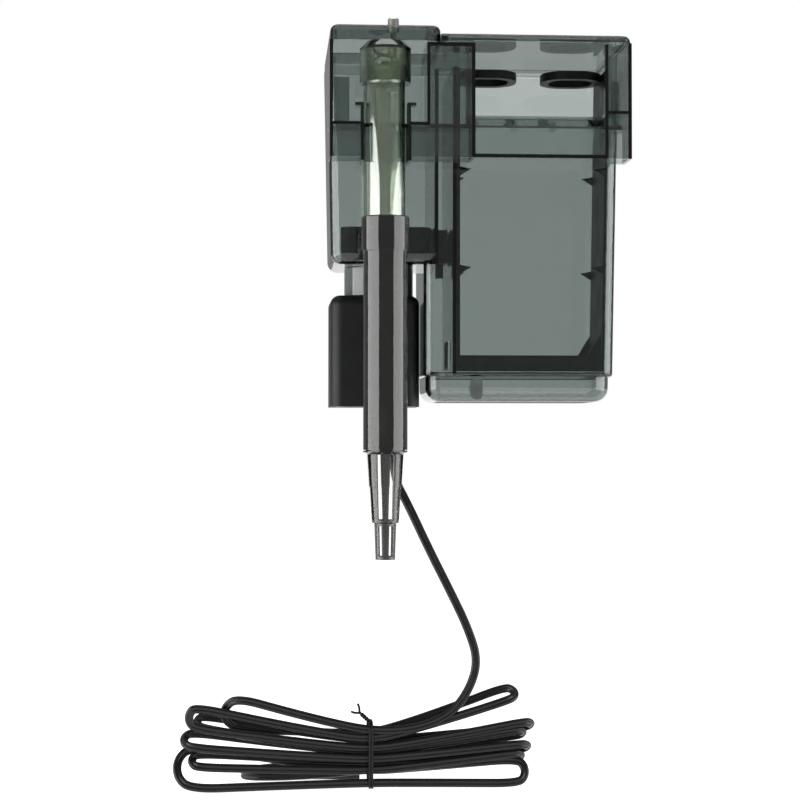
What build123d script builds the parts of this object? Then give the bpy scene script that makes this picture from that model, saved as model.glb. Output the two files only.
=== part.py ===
from build123d import *
import os
from math import pi, radians, tan

os.makedirs("parts", exist_ok=True)

# Hang-on-back aquarium filter, millimetres.  The origin is on the rim seat: X = 0 in the middle of the
# case, Y = 0 in the middle of the glass slot (tank side towards -Y), Z = 0 where the seat rests on the rim.

# ---- Case ----
case_width = 167.0
body_depth = 74.0        # filter body, behind the tank wall
apron_depth = 22.0       # part of the case inside the tank
glass_slot = 14.0        # room for the tank wall and its trim
rim_z = 44.8             # top edge of the case
skirt_z = -19.3          # bottom edge of the apron
chamber_z = -74.6        # underside of the pump chamber
media_z = -138.4         # underside of the media chamber
tray_z = -152.6          # underside of the sediment tray
wall = 2.2
panel = 1.8              # thinner walls of the apron
draft = 1.0              # degrees, each side
corner = 7.0             # upright corners of the body
pump_round = 6.0         # bottom edges of the pump chamber
tray_corner = 10.5
tray_round = 8.0
riser_left = -28.4       # outer left face of the media chamber, below the pump chamber
divider_x = -22.6        # left face of the wall between pump chamber and riser
baffle_x = -12.2         # left face of the wall between riser and media
divider_top = 36.0
baffle_top = 38.0
tray_inset = 1.6         # ledge between media chamber and tray
weir_z = 9.9
weir_bar = 1.8           # radius of the rounded weir edge
spout_left = -5.2
spout_right = 68.5       # at the front
spout_flare = 7.2        # how far the right wall leans out by the time it meets the body
spout_floor = -19.0
ramp_knee = 1.8          # height of the ramp's top where it passes over the tank side of the rim
seat_rib = 1.8           # ribs under the ramp that carry the seat across the spout
column_left = -30.0
column_top = 44.0
ledge = 1.6
side_shelf = 7.4         # top of the small shelf right of the spout
hook_set_back = 4.0      # of the pipe hooks, behind the apron's front
post_depth = 3.2         # stiffening posts on the bridge
left_post = (-80.2, -71.5, 29.6)   # left, right and top
right_post = (77.6, 81.9, 29.0)
hook_height = 11.2
hook_depth = 9.0
hook_reach = 3.8
riser_window = (40.0, 16.0, -125.0)   # width, height and level of the window under the baffle

# ---- Intake ----
pipe_x = -52.5
pipe_y = -20.5
pump_y = 44.0
pipe_od = 21.8
pipe_wall = 1.4
pipe_end = -61.0
ext_gap = 0.2            # radial play of the telescopic extension
ext_wall = 1.1
collar_wall = 1.05         # how far the collar stands out from the extension
collar_top = -51.6
collar_height = 19.1
ext_end = -180.0
head_wall = 3.3          # how far the head stands out from the pipe
head_z = 22.0
head_height = 22.9
head_chamfer = 3.6
socket_depth = 9.0
duct_od = 18.0
duct_bore = 14.8
duct_z = 32.0
notch_play = 1.2         # between the pipe and its guide walls
guide_z = -21.5
strainer_end = -240.2
strainer_wall = 1.4
strainer_steps = (0.9, 1.9, 3.45, 4.75, 5.45)   # smaller than the pipe's radius, top to tip
slot_width = 3.4         # long slots of the strainer
short_slot_width = 2.6
step_z = (-200.0, -220.0)   # where the strainer steps in
slots_long = 8
slots_short = 6

# ---- Lids and flow control ----
lid_gap = 0.4            # above the rim, and between the two lids
lid_wall = 2.0
intake_lid_height = 8.5
media_lid_height = 4.2
lid_split = -22.1
lid_round = 3.6
lid_corner = 5.0
lid_overrun = 8.0        # the media lid's left end is cut square this far inside its rounded blank
stem_x = pipe_x + 4.4
stem_r = 1.6
knob_r = 3.1
knob_top = 58.6
shutter_r = 6.8
shutter_z = 33.0
shutter_thick = 1.5
play = 0.4               # general clearance between pieces that move apart

# ---- Pump and motor ----
volute_left = -75.4
volute_right = -23.2
volute_front = 20.0
volute_back = 68.0
volute_base = -72.0
volute_top = -55.6
cover_thick = 3.0
impeller_room = 14.5     # radius of the impeller chamber
impeller_r = 12.5
outlet_end = -13.2
outlet_half = 11.0
well_r = 20.0            # outer radius of the neck
well_z = -91.1
well_wall = 1.4
rotor_tube_r = 10.0
rotor_tube_end = -149.0
spigot_r = 15.0          # case spigot inside the neck
spigot_bore = 12.0
spigot_length = 8.0
ring_r = 1.15
magnet_r = 7.8
shaft_r = 1.25
shaft_play = 0.05
motor_left = -81.3
motor_right = -30.0
motor_depth = 46.0
motor_top = -91.5
motor_bottom = -155.5
base_thick = 3.0
motor_wall = 2.4
post_r = 3.4
screw_r = 1.3
screw_head_r = 2.5
screw_head = 1.5
gland_x = -44.0
gland_r = 4.2
gland_length = 22.0

# ---- Media frame ----
frame_left = -9.2
frame_right = 76.4        # at the bottom; the right plate leans out with the case wall
frame_front = 19.0
frame_back = 61.0
frame_plate = 2.0
frame_base = -135.8
frame_top = 39.3
rail_height = 9.8
barb_reach = 6.5
barb_levels = (-20.5, -77.0)
loop_width = 35.0
loop_depth = 32.0
loop_bar = 4.8
loop_corner = 14.0
barb_half = 3.0          # half the height of a barb at its root
barb_rise = 1.6
gusset_width = 8.0
gusset_height = 13.0

# ---- Levelling foot ----
foot_x = 1.3
foot_z = -145.4
foot_width = 6.8
foot_height = 13.0
foot_thick = 2.6
foot_stem_r = 1.8
foot_stem = 9.0
foot_socket_r = 3.4

# ---- Cord ----
cord_d = 5.0
floor_z = -376.0
hank_front = 24.0
hank_depth = 22.0
tie_x = -59.4
tie_width = 2.8
tie_thick = 1.2
plug_length = 35.0
plug_width = 26.0
plug_height = 14.0
pin_length = 19.0
pin_spacing = 18.6
pin_r = 2.0
pin_root_r = 1.5         # of the part of a pin that the moulding holds
pin_root = 8.0
boot_length = 8.0
boot_wall = 1.2

# ---- Derived places ----
half = case_width / 2
slot_half = glass_slot / 2
apron_front = -slot_half - apron_depth
body_front = slot_half
body_back = slot_half + body_depth
pipe_r = pipe_od / 2
pipe_bore = pipe_od - 2 * pipe_wall
ext_bore_r = pipe_r + ext_gap
ext_od = 2 * (ext_bore_r + ext_wall)
collar_od = ext_od + 2 * collar_wall
head_od = pipe_od + 2 * head_wall
notch_left = pipe_x - pipe_r - notch_play
notch_right = pipe_x + pipe_r + notch_play
lid_base = rim_z + lid_gap
motor_front = pump_y - motor_depth / 2
motor_mid = (motor_left + motor_right) / 2
shell_bottom = motor_bottom + base_thick


def lean(z):
    """How far the drafted walls have moved in at height z."""
    return (rim_z - z) * tan(radians(draft))


def plate_lean(z):
    """How far the right plate has moved out at height z, to follow the drafted wall."""
    return (z - frame_base) * tan(radians(draft))


def side_faces(z, inset):
    """Right, front and back faces of the drafted body at height z."""
    return half - lean(z) - inset, body_front + lean(z) + inset, body_back - lean(z) - inset


def body_block(left_face, top, bottom, inset, radius, bottom_radius):
    """A drafted block of the body with rounded bottom edges; left_face(z) gives its left side."""
    with BuildPart() as block:
        for z in (top, bottom):
            right, front, back = side_faces(z, inset)
            left = left_face(z) + inset
            with BuildSketch(Plane.XY.offset(z)):
                with Locations(((left + right) / 2, (front + back) / 2)):
                    RectangleRounded(right - left, back - front, radius)
        loft()
        fillet(block.edges().group_by(Axis.Z)[0], bottom_radius)
    return block.part


def cross_wall(x0, x1, z0, z1):
    """An inner wall of the body that follows the draft of the front and back faces."""
    with BuildPart() as partition:
        for z in (z0, z1):
            right, front, back = side_faces(z, wall / 2)
            with BuildSketch(Plane.XY.offset(z)):
                with Locations(((x0 + x1) / 2, (front + back) / 2)):
                    Rectangle(x1 - x0, back - front)
        loft()
    return partition.part


def finish(part, name):
    """Label one piece and write it."""
    part.label = name
    export_step(part, f"parts/{name}.step")


# ---- Case: one clear moulding ----
upper_body = body_block(lambda z: -half + lean(z), rim_z, chamber_z, 0, corner, pump_round)
lower_body = body_block(lambda z: riser_left, chamber_z + 3 * pump_round, media_z, 0, corner, 1.5)
tray_body = body_block(lambda z: riser_left, media_z + wall, tray_z, tray_inset, tray_corner, tray_round)
upper_room = body_block(lambda z: -half + lean(z), rim_z, chamber_z + wall, wall, corner - wall,
                        pump_round - wall)
lower_room = body_block(lambda z: riser_left, chamber_z + 2 * pump_round, media_z + wall, wall,
                        corner - wall, 0.8)
tray_room = body_block(lambda z: riser_left, media_z + 2 * wall, tray_z + wall, tray_inset + wall,
                       tray_corner - wall, tray_round - wall)
divider = cross_wall(divider_x, divider_x + wall, chamber_z, divider_top)
baffle = cross_wall(baffle_x, baffle_x + wall, media_z + wall / 2, baffle_top)
riser_shelf = cross_wall(riser_left, divider_x + wall, chamber_z, chamber_z + wall)
weir_y = body_front + lean(weir_z) + wall / 2
foot_y = body_front + lean(media_z) + tray_inset

lip_top = spout_floor + panel
ramp_right = spout_right + panel / 2
with BuildPart() as ramp:
    # from the weir over the rim and down to the lip
    with BuildSketch(Plane.YZ.offset(spout_left + panel / 2)):
        with BuildLine():
            Polyline((body_front + 1, weir_z - 1), (-slot_half - 0.5, ramp_knee),
                     (apron_front + panel, lip_top),
                     (apron_front, lip_top), (apron_front, spout_floor), (apron_front + panel, spout_floor),
                     (-slot_half - 0.5, ramp_knee - panel), (body_front + 1, weir_z - 1 - panel), close=True)
        make_face()
    extrude(amount=spout_right - spout_left + spout_flare)
    # as wide as the spout, which flares to the right
    with BuildSketch(Plane.XY.offset(spout_floor)):
        with BuildLine():
            Polyline((spout_left + panel / 2, apron_front), (ramp_right, apron_front),
                     (ramp_right + spout_flare, body_front + 1), (spout_left + panel / 2, body_front + 1),
                     close=True)
        make_face()
    extrude(amount=weir_z - spout_floor, mode=Mode.INTERSECT)

with BuildPart() as filter_case:
    add(upper_body)
    add(lower_body)
    add(tray_body)
    add([upper_room, lower_room, tray_room], mode=Mode.SUBTRACT)
    add([divider, baffle, riser_shelf])
    # apron front: panels left and right of the pipe, the column and the panel right of the spout
    with BuildSketch(Plane.XZ.offset(-apron_front)):
        for x0, x1, z1 in (
            (-half, notch_left, 0.0),
            (notch_right, column_left, 0.0),
            (column_left, spout_left + panel, column_top),
            (spout_right, half, column_top),
            (spout_left, spout_right + panel, spout_floor + panel),
        ):
            with Locations(((x0 + x1) / 2, (skirt_z + z1) / 2)):
                Rectangle(x1 - x0, z1 - skirt_z)
    extrude(amount=-panel)
    # apron walls that run back from the front
    with BuildSketch(Plane.XZ.offset(-apron_front)):
        for x0, x1, z0, z1 in (
            (-half, -half + panel, skirt_z, rim_z),
            (half - panel, half, skirt_z, rim_z),
            (notch_left - panel, notch_left, guide_z, 0.0),
            (notch_right, notch_right + panel, guide_z, 0.0),
            (-half, notch_left, -ledge, 0.0),
            (notch_right, column_left + panel, -ledge, 0.0),
            (column_left, column_left + panel, -ledge, column_top),
            (column_left, spout_left + panel, column_top - panel, column_top),
            (spout_left, spout_left + panel, spout_floor, column_top),
            (spout_right + panel, half, side_shelf - ledge, side_shelf),
        ):
            with Locations(((x0 + x1) / 2, (z0 + z1) / 2)):
                Rectangle(x1 - x0, z1 - z0)
    extrude(amount=-apron_depth)
    # flared right wall of the spout
    with BuildSketch(Plane.XY.offset(spout_floor)):
        with BuildLine():
            Polyline((spout_right, apron_front), (spout_right + panel, apron_front),
                     (spout_right + panel + spout_flare, body_front + 1),
                     (spout_right + spout_flare, body_front + 1), close=True)
        make_face()
    extrude(amount=column_top - spout_floor)
    # hook wall behind the apron and the seat that bridges the rim, left and right of the spout
    spout_edge = spout_right + spout_flare * apron_depth / (apron_depth + glass_slot)
    for x0, x1 in ((-half, spout_left + panel), (spout_edge, half)):
        with BuildSketch(Plane.XZ.offset(slot_half)):
            with Locations(((x0 + x1) / 2, (skirt_z + wall) / 2)):
                Rectangle(x1 - x0, wall - skirt_z)
        extrude(amount=panel)
        with BuildSketch(Plane.XY):
            with Locations(((x0 + x1) / 2, (body_front + 1 - slot_half) / 2)):
                Rectangle(x1 - x0, body_front + 1 + slot_half)
        extrude(amount=wall)
    add(ramp.part)
    # ribs under the ramp that rest on the rim
    for x in (0.0, 22.0, 44.0, 66.0):
        with BuildSketch(Plane.YZ.offset(x - seat_rib / 2)):
            with BuildLine():
                Polyline((-slot_half - 0.4, 0.0), (body_front + 1, 0.0), (body_front + 1, weir_z - 1.5),
                         (-slot_half - 0.4, ramp_knee - 0.5), close=True)
            make_face()
        extrude(amount=seat_rib)
    # side walls of the bridge, and the spout's left wall across it
    with BuildSketch(Plane.XZ.offset(slot_half)):
        for x0, x1, z1 in ((-half, -half + panel, rim_z), (half - panel, half, rim_z),
                           (spout_left, spout_left + panel, column_top)):
            with Locations(((x0 + x1) / 2, z1 / 2)):
                Rectangle(x1 - x0, z1)
    extrude(amount=-(glass_slot + 1.0))
    # stiffening posts on the bridge
    for x0, x1, z1 in (left_post, right_post):
        with BuildSketch(Plane.XZ):
            with Locations(((x0 + x1) / 2, (wall + z1) / 2)):
                Rectangle(x1 - x0, z1 - wall)
        extrude(amount=-post_depth)
    # the slot below the seat stays clear
    with BuildSketch(Plane.XY):
        Rectangle(case_width + 2, glass_slot)
    extrude(amount=skirt_z - 10, mode=Mode.SUBTRACT)
    # spillway window above the weir, and the notch for the intake duct
    with BuildSketch(Plane.XZ.offset(-body_front + 1)):
        with Locations(((spout_left + panel + spout_right + spout_flare) / 2, (weir_z + rim_z + 2) / 2)):
            Rectangle(spout_right + spout_flare - spout_left - panel, rim_z + 2 - weir_z)
        with Locations((pipe_x, rim_z + 1)):
            SlotOverall(2 * (rim_z + 1 - duct_z + duct_od / 2 + play), duct_od + 2 * play, rotation=90)
    extrude(amount=-(wall + 3), mode=Mode.SUBTRACT)
    with BuildSketch(Plane.YZ.offset(spout_left + panel)):
        with Locations((weir_y, weir_z - weir_bar)):
            Circle(weir_bar)
    extrude(amount=spout_right + spout_flare - spout_left - panel)
    # hooks that hold the pipe, standing on the ledge
    for side in (-1, 1):
        hook_x = pipe_x + side * (pipe_r + notch_play + panel / 2)
        with BuildSketch(Plane.XZ.offset(-apron_front - hook_set_back)):
            with Locations((hook_x, hook_height / 2)):
                Rectangle(panel, hook_height)
            with Locations((hook_x + side * hook_reach / 2, hook_height - panel / 2)):
                Rectangle(hook_reach, panel)
        extrude(amount=-hook_depth)
    # outlet window through the divider, flow window at the foot of the baffle
    with BuildSketch(Plane.YZ.offset(divider_x - 1)):
        with Locations((pump_y, (volute_base - 0.4 + volute_top + cover_thick) / 2)):
            Rectangle(2 * outlet_half + 2 * play, volute_top + cover_thick - volute_base + 2 * play)
    extrude(amount=wall + 2, mode=Mode.SUBTRACT)
    with BuildSketch(Plane.YZ.offset(baffle_x - 1)):
        with Locations((pump_y, riser_window[2])):
            RectangleRounded(riser_window[0], riser_window[1], 3.0)
    extrude(amount=wall + 2, mode=Mode.SUBTRACT)
    # spigot under the pump chamber that carries the motor
    with BuildSketch(Plane.XY.offset(chamber_z + 1)):
        with Locations((pipe_x, pump_y)):
            Circle(spigot_r)
    extrude(amount=-(spigot_length + 1))
    with BuildSketch(Plane.XY.offset(chamber_z + wall + 1)):
        with Locations((pipe_x, pump_y)):
            Circle(spigot_bore)
    extrude(amount=-(spigot_length + wall + 2), mode=Mode.SUBTRACT)
    # blind socket for the levelling foot
    with BuildSketch(Plane.XZ.offset(-foot_y)):
        with Locations((foot_x, foot_z)):
            Circle(foot_socket_r)
    extrude(amount=-(foot_stem + 3.0))
    with BuildSketch(Plane.XZ.offset(-foot_y + 1)):
        with Locations((foot_x, foot_z)):
            Circle(foot_stem_r + 0.2)
    extrude(amount=-(foot_stem + 2.2), mode=Mode.SUBTRACT)
finish(filter_case.part, "filter_case")

# ---- Lids: two shallow trays, upside down, that lift off ----
lid_depth = body_back - apron_front
lid_mid_y = (apron_front + body_back) / 2
for name, x0, x1, height, overrun in (
    ("intake_lid", -half + lid_gap, lid_split - lid_gap / 2, intake_lid_height, 0.0),
    ("media_lid", lid_split + lid_gap / 2, half, media_lid_height, lid_overrun),
):
    with BuildPart() as lid:
        with BuildSketch(Plane.XY.offset(lid_base)):
            with Locations(((x0 - overrun + x1) / 2, lid_mid_y)):
                RectangleRounded(x1 - x0 + overrun, lid_depth, lid_corner)
        extrude(amount=height)
        fillet(lid.faces().sort_by(Axis.Z)[-1].edges(), lid_round)
        if overrun:
            split(bisect_by=Plane.YZ.offset(x0), keep=Keep.TOP)
        with BuildSketch(Plane.XY.offset(lid_base)):
            with Locations(((x0 + x1) / 2, lid_mid_y)):
                RectangleRounded(x1 - x0 - 2 * lid_wall, lid_depth - 2 * lid_wall, lid_corner - lid_wall)
        extrude(amount=height - lid_wall, mode=Mode.SUBTRACT)
        if name == "intake_lid":
            with BuildSketch(Plane.XY.offset(lid_base + height - lid_wall - 1)):
                with Locations((stem_x, pipe_y)):
                    Circle(knob_r + play)
            extrude(amount=lid_wall + 2, mode=Mode.SUBTRACT)
    finish(lid.part, name)

# ---- Flow control: knob, stem and shutter turn together ----
knob_base = lid_base + intake_lid_height - lid_wall - 1.5
with BuildPart() as flow_knob:
    with BuildSketch(Plane.XY.offset(knob_base)):
        with Locations((stem_x, pipe_y)):
            Circle(knob_r)
            Circle(stem_r, mode=Mode.SUBTRACT)
    extrude(amount=knob_top - knob_base)
    chamfer(flow_knob.faces().sort_by(Axis.Z)[-1].edges().sort_by(SortBy.LENGTH)[-1], 0.9)
finish(flow_knob.part, "flow_knob")

with BuildPart() as flow_valve:
    with BuildSketch(Plane.XY.offset(shutter_z)):
        with Locations((stem_x, pipe_y)):
            Circle(stem_r)
    extrude(amount=knob_top - 0.8 - shutter_z)
    with BuildSketch(Plane.XY.offset(shutter_z)):
        with BuildLine():
            Line((stem_x - shutter_r, pipe_y), (stem_x + shutter_r, pipe_y))
            ThreePointArc((stem_x + shutter_r, pipe_y), (stem_x, pipe_y + shutter_r),
                          (stem_x - shutter_r, pipe_y))
        make_face()
    extrude(amount=shutter_thick)
finish(flow_valve.part, "flow_valve")

# ---- Intake: head and duct over the rim, pipe, telescopic extension, strainer ----
head_top = head_z + head_height
leg_end = volute_top + 0.4
with BuildPart() as intake_elbow:
    with BuildSketch(Plane.XY.offset(head_z)):
        with Locations((pipe_x, pipe_y)):
            Circle(head_od / 2)
    extrude(amount=head_height)
    chamfer(intake_elbow.faces().sort_by(Axis.Z)[-1].edges(), head_chamfer)
    with BuildSketch(Plane.XZ.offset(-pipe_y)):
        with Locations((pipe_x, duct_z)):
            Circle(duct_od / 2)
    extrude(amount=-(pump_y - pipe_y))
    with Locations((pipe_x, pump_y, duct_z)):
        Sphere(duct_od / 2)
    with BuildSketch(Plane.XY.offset(leg_end)):
        with Locations((pipe_x, pump_y)):
            Circle(duct_od / 2)
    extrude(amount=duct_z - leg_end)
    with Locations((pipe_x, pump_y, duct_z)):
        Sphere(duct_bore / 2, mode=Mode.SUBTRACT)
    with BuildSketch(Plane.XY.offset(leg_end)):
        with Locations((pipe_x, pump_y)):
            Circle(duct_bore / 2)
    extrude(amount=duct_z - leg_end, mode=Mode.SUBTRACT)
    with BuildSketch(Plane.XZ.offset(-pipe_y)):
        with Locations((pipe_x, duct_z)):
            Circle(duct_bore / 2)
    extrude(amount=-(pump_y - pipe_y), mode=Mode.SUBTRACT)
    with BuildSketch(Plane.XY.offset(head_z)):
        with Locations((pipe_x, pipe_y)):
            Circle(pipe_r)
    extrude(amount=socket_depth, mode=Mode.SUBTRACT)
    with BuildSketch(Plane.XY.offset(head_z + socket_depth - 0.1)):
        with Locations((pipe_x, pipe_y)):
            Circle(head_od / 2 - 2.4)
    extrude(amount=head_height - socket_depth - 4.6, mode=Mode.SUBTRACT)
    with BuildSketch(Plane.XY.offset(head_top + 1)):
        with Locations((stem_x, pipe_y)):
            Circle(stem_r + shaft_play)
    extrude(amount=-8, mode=Mode.SUBTRACT)
finish(intake_elbow.part, "intake_elbow")

with BuildPart() as intake_pipe:
    with BuildSketch(Plane.XY.offset(pipe_end)):
        with Locations((pipe_x, pipe_y)):
            Circle(pipe_r)
            Circle(pipe_bore / 2, mode=Mode.SUBTRACT)
    extrude(amount=head_z + socket_depth - 0.2 - pipe_end)
finish(intake_pipe.part, "intake_pipe")

with BuildPart() as extension_pipe:
    with BuildSketch(Plane.XY.offset(ext_end)):
        with Locations((pipe_x, pipe_y)):
            Circle(ext_od / 2)
    extrude(amount=collar_top - ext_end)
    with BuildSketch(Plane.XY.offset(collar_top - collar_height)):
        with Locations((pipe_x, pipe_y)):
            Circle(collar_od / 2)
    extrude(amount=collar_height)
    chamfer(extension_pipe.edges().filter_by(GeomType.CIRCLE).sort_by(Axis.Z)[-1], 0.6)
    with BuildSketch(Plane.XY.offset(ext_end)):
        with Locations((pipe_x, pipe_y)):
            Circle(ext_bore_r)
    extrude(amount=collar_top - ext_end, mode=Mode.SUBTRACT)
finish(extension_pipe.part, "extension_pipe")

# the strainer is three tapered steps on a spigot, closed at the tip
mouth_r, waist_r, step_r, nose_r, tip_r = (pipe_r - inset for inset in strainer_steps)
strainer_profile = (
    (waist_r - 0.4, ext_end + 8.0), (ext_bore_r - 0.25, ext_end + 8.0), (ext_bore_r - 0.25, ext_end - play),
    (ext_od / 2, ext_end - play), (ext_od / 2, ext_end - 1.2), (mouth_r, ext_end - 2.4),
    (waist_r, step_z[0]), (waist_r - 0.4, step_z[0] - 0.4), (step_r, step_z[1]), (nose_r, step_z[1] - 0.4),
    (tip_r, strainer_end), (0.0, strainer_end), (0.0, strainer_end + strainer_wall),
    (tip_r - strainer_wall, strainer_end + strainer_wall), (nose_r - strainer_wall, step_z[1] - strainer_wall),
    (step_r - strainer_wall, step_z[1] + 1.0), (waist_r - 0.4 - strainer_wall, step_z[0] - 2.0),
    (waist_r - strainer_wall, step_z[0] + 1.0),
)
intake_axis = Plane(origin=(pipe_x, pipe_y, 0), x_dir=(1, 0, 0), z_dir=(0, -1, 0))
with BuildPart() as strainer:
    with BuildSketch(intake_axis):
        with BuildLine():
            Polyline(*strainer_profile, close=True)
        make_face()
    revolve(axis=Axis((pipe_x, pipe_y, 0), (0, 0, 1)))
    for radius, count, first, width, top, bottom in (
        (waist_r - 0.5, slots_long, 22.5, slot_width, ext_end - 2.6, step_z[1] + 1.7),
        (nose_r - 0.25, slots_short, 0.0, short_slot_width, step_z[1] - 1.8, strainer_end + 1.8),
    ):
        with Locations((pipe_x, pipe_y, (top + bottom) / 2)):
            with PolarLocations(radius, count, start_angle=first):
                Box(6.0, width, top - bottom, mode=Mode.SUBTRACT)
finish(strainer.part, "strainer")

# ---- Pump: volute with outlet, cover, seal, impeller, magnet, shaft and bushes ----
with BuildPart() as pump_volute:
    with BuildSketch(Plane.XY.offset(volute_base)):
        with Locations(((volute_left + volute_right) / 2, pump_y)):
            RectangleRounded(volute_right - volute_left, volute_back - volute_front, 7.0)
    extrude(amount=volute_top - volute_base)
    with BuildSketch(Plane.XY.offset(volute_base)):
        with Locations(((volute_right - 8 + outlet_end) / 2, pump_y)):
            Rectangle(outlet_end - volute_right + 8, 2 * outlet_half)
    extrude(amount=volute_top + cover_thick - 0.2 - volute_base)
    with BuildSketch(Plane.XY.offset(volute_top)):
        with Locations(((volute_right - 8 + volute_right) / 2, pump_y)):
            Rectangle(8.2, 2 * outlet_half + 1)
    extrude(amount=cover_thick, mode=Mode.SUBTRACT)
    with BuildSketch(Plane.XY.offset(volute_base + 2.4)):
        with Locations((pipe_x, pump_y)):
            Circle(impeller_room)
    extrude(amount=volute_top - volute_base, mode=Mode.SUBTRACT)
    with BuildSketch(Plane.XY.offset(volute_base - 1)):
        with Locations((pipe_x, pump_y)):
            Circle(spigot_bore - 0.4)
    extrude(amount=5.0, mode=Mode.SUBTRACT)
    with BuildSketch(Plane.YZ.offset(pipe_x)):
        with Locations((pump_y + 5.5, (volute_base + 2.4 + volute_top - 0.6) / 2)):
            Rectangle(9.0, volute_top - volute_base - 3.0)
    extrude(amount=outlet_end + 1 - pipe_x, mode=Mode.SUBTRACT)
    with BuildSketch(Plane.XY.offset(volute_base)):
        with Locations((-17.0, pump_y)):
            Rectangle(4.0, 8.0)
    extrude(amount=-8.0)
finish(pump_volute.part, "pump_volute")

with BuildPart() as volute_cover:
    with BuildSketch(Plane.XY.offset(volute_top)):
        with Locations(((volute_left + volute_right) / 2, pump_y)):
            RectangleRounded(volute_right - volute_left, volute_back - volute_front, 7.0)
        with Locations((pipe_x, pump_y)):
            Circle(duct_od / 2 + 1.6, mode=Mode.SUBTRACT)
    extrude(amount=cover_thick)
    with BuildSketch(Plane.XY.offset(volute_top)):
        with Locations((pipe_x, pump_y)):
            Circle(duct_od / 2 + 1.6)
            Circle(duct_bore / 2, mode=Mode.SUBTRACT)
            Rectangle(duct_od + 2, 2.0)
            Circle(3.2)
            Circle(2.4, mode=Mode.SUBTRACT)
    extrude(amount=0.4)
finish(volute_cover.part, "volute_cover")

for name, inner, outer, low, high in (
    ("elbow_seal", duct_od / 2, duct_od / 2 + 1.6, volute_top + 0.4, volute_top + cover_thick),
    ("upper_bush", shaft_r, 2.4, volute_top - 1.6, volute_top + 0.4),
    ("lower_bush", shaft_r, 2.6, rotor_tube_end + 1.6, rotor_tube_end + 4.6),
):
    with BuildPart() as ring:
        with BuildSketch(Plane.XY.offset(low)):
            with Locations((pipe_x, pump_y)):
                Circle(outer)
                Circle(inner, mode=Mode.SUBTRACT)
        extrude(amount=high - low)
    finish(ring.part, name)

impeller_low = volute_base + 3.6
impeller_high = volute_top - 2.4
magnet_low = rotor_tube_end + 6.0
magnet_high = well_z - 6.0
with BuildPart() as impeller:
    with BuildSketch(Plane.XY.offset(impeller_low)):
        with Locations((pipe_x, pump_y)):
            Circle(impeller_r)
    extrude(amount=1.2)
    with BuildSketch(Plane.XY.offset(impeller_low)):
        with Locations((pipe_x, pump_y)):
            Circle(4.0)
        with Locations((pipe_x, pump_y)):
            with PolarLocations(impeller_r / 2 + 1.5, 6):
                Rectangle(impeller_r - 3.2, 1.2)
    extrude(amount=impeller_high - impeller_low)
    with BuildSketch(Plane.XY.offset(magnet_high)):
        with Locations((pipe_x, pump_y)):
            Circle(4.6)
    extrude(amount=impeller_low - magnet_high)
    with Locations((pipe_x, pump_y, (magnet_high + impeller_high) / 2)):
        Cylinder(shaft_r + shaft_play, impeller_high - magnet_high + 1, mode=Mode.SUBTRACT)
finish(impeller.part, "impeller")

with BuildPart() as rotor_magnet:
    with BuildSketch(Plane.XY.offset(magnet_low)):
        with Locations((pipe_x, pump_y)):
            Circle(magnet_r)
            Circle(shaft_r + shaft_play, mode=Mode.SUBTRACT)
    extrude(amount=magnet_high - magnet_low)
finish(rotor_magnet.part, "rotor_magnet")

with BuildPart() as impeller_shaft:
    with BuildSketch(Plane.XY.offset(rotor_tube_end + 1.6)):
        with Locations((pipe_x, pump_y)):
            Circle(shaft_r)
    extrude(amount=volute_top + 0.4 - rotor_tube_end - 1.6)
finish(impeller_shaft.part, "impeller_shaft")

# ---- Motor: neck with rotor tube, O-ring, shell, laminations, coil, base, screws, gland ----
neck_top = chamber_z - 0.3
neck_bore = spigot_r + 2 * ring_r + 0.05
with BuildPart() as impeller_well:
    with BuildSketch(Plane.XY.offset(well_z)):
        with Locations((pipe_x, pump_y)):
            Circle(well_r)
    extrude(amount=neck_top - well_z)
    with BuildSketch(Plane.XY.offset(well_z + 2.2)):
        with Locations((pipe_x, pump_y)):
            Circle(neck_bore)
    extrude(amount=neck_top - well_z, mode=Mode.SUBTRACT)
    with BuildSketch(Plane.XY.offset(rotor_tube_end)):
        with Locations((pipe_x, pump_y)):
            Circle(rotor_tube_r)
    extrude(amount=well_z - rotor_tube_end)
    with BuildSketch(Plane.XY.offset(rotor_tube_end + 1.6)):
        with Locations((pipe_x, pump_y)):
            Circle(rotor_tube_r - well_wall)
    extrude(amount=well_z + 3 - rotor_tube_end, mode=Mode.SUBTRACT)
finish(impeller_well.part, "impeller_well")

with BuildPart() as well_o_ring:
    with BuildSketch(Plane(origin=(pipe_x, pump_y, 0), x_dir=(1, 0, 0), z_dir=(0, -1, 0))):
        with Locations((spigot_r + ring_r + 0.02, chamber_z - spigot_length / 2)):
            Circle(ring_r)
    revolve(axis=Axis((pipe_x, pump_y, 0), (0, 0, 1)))
finish(well_o_ring.part, "well_o_ring")

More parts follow.
